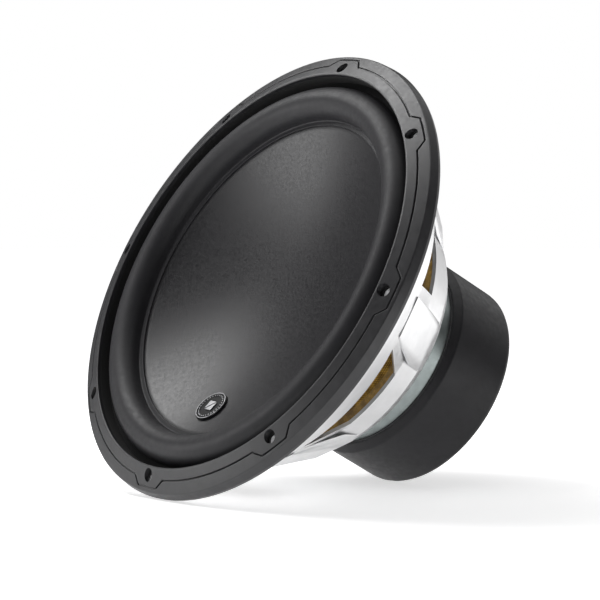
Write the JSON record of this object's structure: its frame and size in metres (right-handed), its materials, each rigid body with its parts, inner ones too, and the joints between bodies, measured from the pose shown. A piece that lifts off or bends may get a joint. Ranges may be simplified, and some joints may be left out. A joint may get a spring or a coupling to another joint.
{
  "type": "car subwoofer driver",
  "caption": "Round subwoofer driver: dished cone and half-roll surround in a windowed cast basket, gasketed front ring, booted magnet motor, push terminals.",
  "frame": {"origin": "centre of the motor's rear face, on the cone's axis, where the driver stands", "axes": "+Z along the cone's axis towards the front of the driver, +Y towards the push terminals"},
  "size_m": [0.3204, 0.3204, 0.178],
  "materials": {
    "gasket_rubber": "matte moulded rubber",
    "trim_rubber": "matte moulded rubber",
    "cast_aluminium": "bright satin casting",
    "surround_rubber": "satin butyl rubber",
    "spider_cloth": "resin-dipped woven cloth",
    "cone_plastic": "satin moulded polypropylene",
    "skirt_plastic": "satin",
    "former_metal": "thin rolled sheet",
    "copper_winding": "enamelled round wire",
    "badge_black": "gloss",
    "badge_silver": "satin print",
    "zinc_steel": "zinc plated, turned",
    "ferrite": "ground ceramic ferrite",
    "black_steel": "black electrophoretic coat",
    "boot_rubber": "matte moulded rubber",
    "screen_steel": "woven wire",
    "terminal_plastic": "textured moulding",
    "screw_steel": "zinc plated",
    "red_plastic": "satin",
    "black_cap": "satin",
    "spring_steel": "drawn wire",
    "tab_brass": "tinned brass",
    "tinsel_copper": "braided tinsel"
  },
  "bodies": {
    "frame": {"mounting_gasket": "gasket_rubber", "outer_trim_ring": "trim_rubber", "basket": "cast_aluminium", "surround": "surround_rubber", "spider": "spider_cloth", "top_plate": "zinc_steel", "front_magnet": "ferrite", "rear_magnet": "ferrite", "t_yoke": "black_steel", "motor_boot": "boot_rubber", "vent_screen": "screen_steel", "terminal_block": "terminal_plastic", "terminal_screw": "screw_steel", "positive_spring": "spring_steel", "negative_spring": "spring_steel", "positive_solder_tab": "tab_brass", "negative_solder_tab": "tab_brass", "positive_lead": "tinsel_copper", "negative_lead": "tinsel_copper", "frame_screw_1": "screw_steel", "frame_screw_2": "screw_steel", "frame_screw_3": "screw_steel", "frame_screw_4": "screw_steel", "frame_screw_5": "screw_steel", "frame_screw_6": "screw_steel"},
    "cone": {"cone_dish": "cone_plastic", "cone_skirt": "skirt_plastic", "voice_coil_former": "former_metal", "voice_coil": "copper_winding", "badge_plate": "badge_black", "badge_bezel": "badge_silver", "badge_emblem": "badge_silver"},
    "positive_button": {"positive_button": "red_plastic"},
    "negative_button": {"negative_button": "black_cap"}
  },
  "joints": [
    {"name": "cone_stroke", "type": "slide", "parent": "frame", "child": "cone", "axis": [0, 0, 1], "range_m": [-0.013, 0.013], "stiffness_N_per_m": 8000, "deforming": ["surround", "spider"]},
    {"name": "positive_button_press", "type": "slide", "parent": "frame", "child": "positive_button", "axis": [0, 0, 1], "range_m": [0, 0.004], "stiffness_N_per_m": 400, "springref_m": -0.003, "deforming": ["positive_spring"]},
    {"name": "negative_button_press", "type": "slide", "parent": "frame", "child": "negative_button", "axis": [0, 0, 1], "range_m": [0, 0.004], "stiffness_N_per_m": 400, "springref_m": -0.003, "deforming": ["negative_spring"]}
  ]
}
